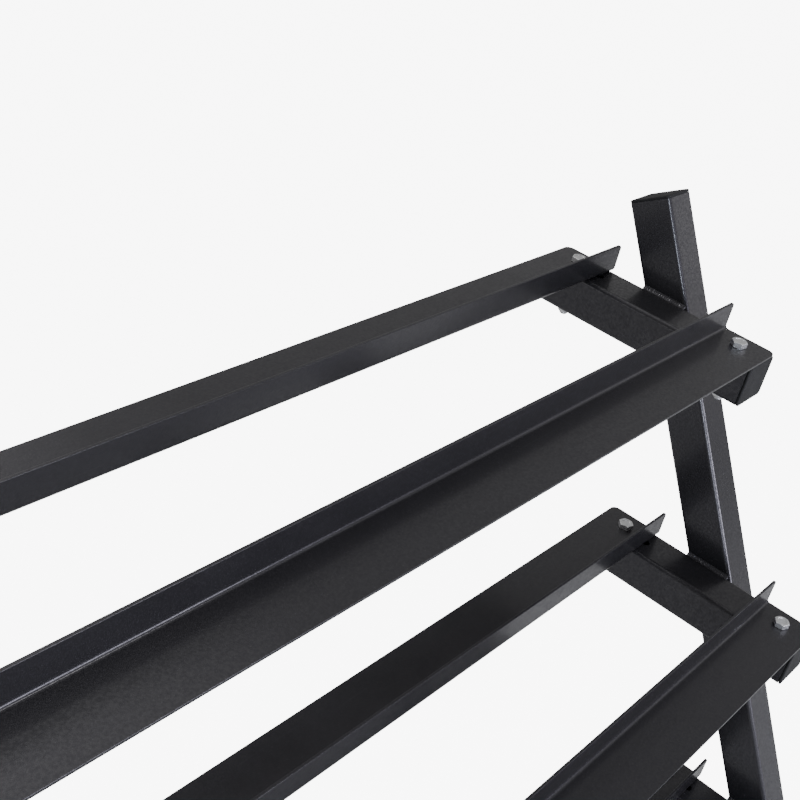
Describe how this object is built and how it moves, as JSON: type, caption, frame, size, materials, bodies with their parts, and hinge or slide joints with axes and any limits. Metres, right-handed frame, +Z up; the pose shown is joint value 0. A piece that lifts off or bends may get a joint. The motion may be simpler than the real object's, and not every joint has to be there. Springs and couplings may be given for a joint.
{
  "type": "dumbbell rack",
  "caption": "Free-standing rack with sloping tiers of paired folded steel rails, bolted to leaning side frames, for hex dumbbells.",
  "frame": {"origin": "on the floor, midway between the side frames and midway along the feet", "axes": "+X along the rails towards the right-hand side frame, +Y towards the back, +Z up"},
  "size_m": [1.2, 0.52, 0.8204],
  "materials": {
    "frame_paint": "satin black powder coat",
    "rail_paint": "satin black powder coat",
    "weld_paint": "satin black powder coat over weld bead",
    "cap_plastic": "fine-grained black plastic",
    "pad_rubber": "matt black rubber",
    "zinc": "bright zinc plate"
  },
  "bodies": {
    "root": {"left_upright": "frame_paint", "right_upright": "frame_paint", "left_upright_cap": "cap_plastic", "right_upright_cap": "cap_plastic", "left_foot": "frame_paint", "right_foot": "frame_paint", "left_foot_front_cap": "cap_plastic", "left_foot_rear_cap": "cap_plastic", "right_foot_front_cap": "cap_plastic", "right_foot_rear_cap": "cap_plastic", "left_foot_front_pad": "pad_rubber", "left_foot_rear_pad": "pad_rubber", "right_foot_front_pad": "pad_rubber", "right_foot_rear_pad": "pad_rubber", "pad_screws": "zinc", "left_bottom_arm": "frame_paint", "left_middle_arm": "frame_paint", "left_top_arm": "frame_paint", "right_bottom_arm": "frame_paint", "right_middle_arm": "frame_paint", "right_top_arm": "frame_paint", "left_bottom_arm_front_cap": "cap_plastic", "left_bottom_arm_rear_cap": "cap_plastic", "left_middle_arm_front_cap": "cap_plastic", "left_middle_arm_rear_cap": "cap_plastic", "left_top_arm_front_cap": "cap_plastic", "left_top_arm_rear_cap": "cap_plastic", "right_bottom_arm_front_cap": "cap_plastic", "right_bottom_arm_rear_cap": "cap_plastic", "right_middle_arm_front_cap": "cap_plastic", "right_middle_arm_rear_cap": "cap_plastic", "right_top_arm_front_cap": "cap_plastic", "right_top_arm_rear_cap": "cap_plastic", "left_welds": "weld_paint", "right_welds": "weld_paint", "bottom_front_rail": "rail_paint", "bottom_rear_rail": "rail_paint", "middle_front_rail": "rail_paint", "middle_rear_rail": "rail_paint", "top_front_rail": "rail_paint", "top_rear_rail": "rail_paint", "bottom_bolts": "zinc", "middle_bolts": "zinc", "top_bolts": "zinc", "bottom_washers": "zinc", "middle_washers": "zinc", "top_washers": "zinc", "bottom_nuts": "zinc", "middle_nuts": "zinc", "top_nuts": "zinc"}
  },
  "joints": []
}
